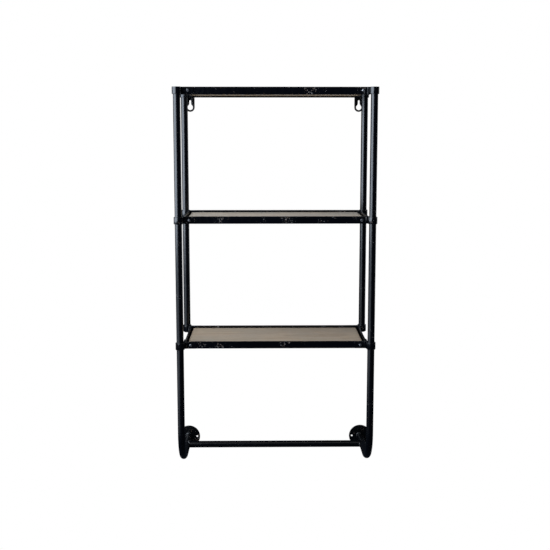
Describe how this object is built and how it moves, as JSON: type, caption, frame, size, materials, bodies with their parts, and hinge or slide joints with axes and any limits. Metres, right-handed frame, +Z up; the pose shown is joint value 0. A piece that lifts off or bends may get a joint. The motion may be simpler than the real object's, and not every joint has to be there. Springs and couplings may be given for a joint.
{
  "type": "over the toilet storage rack",
  "caption": "Wall-hung black tube rack with framed wooden shelves, a towel rail between bent lower posts, wall flanges and keyhole hanger plates.",
  "frame": {"origin": "on the wall plane, midway between the two screws that the hanger plates' keyhole slots hang on", "axes": "+Z up, +Y into the wall, +X to the right as seen from the front"},
  "size_m": [0.487, 0.2103, 0.8875],
  "materials": {
    "black_paint": "satin black paint, rubbed through to bare metal in specks along the edges",
    "screw_steel": "blackened pan-head screws, partly rubbed bright",
    "plug_plastic": "matt black",
    "shelf_wood": "grey-brown weathered board with the grain along its length"
  },
  "bodies": {
    "root": {"front_post_left": "black_paint", "front_post_right": "black_paint", "back_post_left": "black_paint", "back_post_right": "black_paint", "towel_rail": "black_paint", "wall_flange_left": "black_paint", "wall_flange_right": "black_paint", "hanger_plate_left": "black_paint", "hanger_plate_right": "black_paint", "top_rail_front": "black_paint", "top_rail_back": "black_paint", "top_rail_left": "black_paint", "top_rail_right": "black_paint", "top_bracket_front_left": "black_paint", "top_bracket_front_right": "black_paint", "top_bracket_back_left": "black_paint", "top_bracket_back_right": "black_paint", "top_screw_front_left": "screw_steel", "top_screw_front_right": "screw_steel", "top_screw_back_left": "screw_steel", "top_screw_back_right": "screw_steel", "top_board": "shelf_wood", "middle_rail_front": "black_paint", "middle_rail_back": "black_paint", "middle_rail_left": "black_paint", "middle_rail_right": "black_paint", "middle_bracket_front_left": "black_paint", "middle_bracket_front_right": "black_paint", "middle_bracket_back_left": "black_paint", "middle_bracket_back_right": "black_paint", "middle_screw_front_left": "screw_steel", "middle_screw_front_right": "screw_steel", "middle_screw_back_left": "screw_steel", "middle_screw_back_right": "screw_steel", "middle_board": "shelf_wood", "bottom_rail_front": "black_paint", "bottom_rail_back": "black_paint", "bottom_rail_left": "black_paint", "bottom_rail_right": "black_paint", "bottom_bracket_front_left": "black_paint", "bottom_bracket_front_right": "black_paint", "bottom_bracket_back_left": "black_paint", "bottom_bracket_back_right": "black_paint", "bottom_screw_front_left": "screw_steel", "bottom_screw_front_right": "screw_steel", "bottom_screw_back_left": "screw_steel", "bottom_screw_back_right": "screw_steel", "bottom_board": "shelf_wood", "post_cap_front_left": "plug_plastic", "post_cap_front_right": "plug_plastic", "post_cap_back_left": "plug_plastic", "post_cap_back_right": "plug_plastic", "back_post_plug_left": "plug_plastic", "back_post_plug_right": "plug_plastic"}
  },
  "joints": []
}
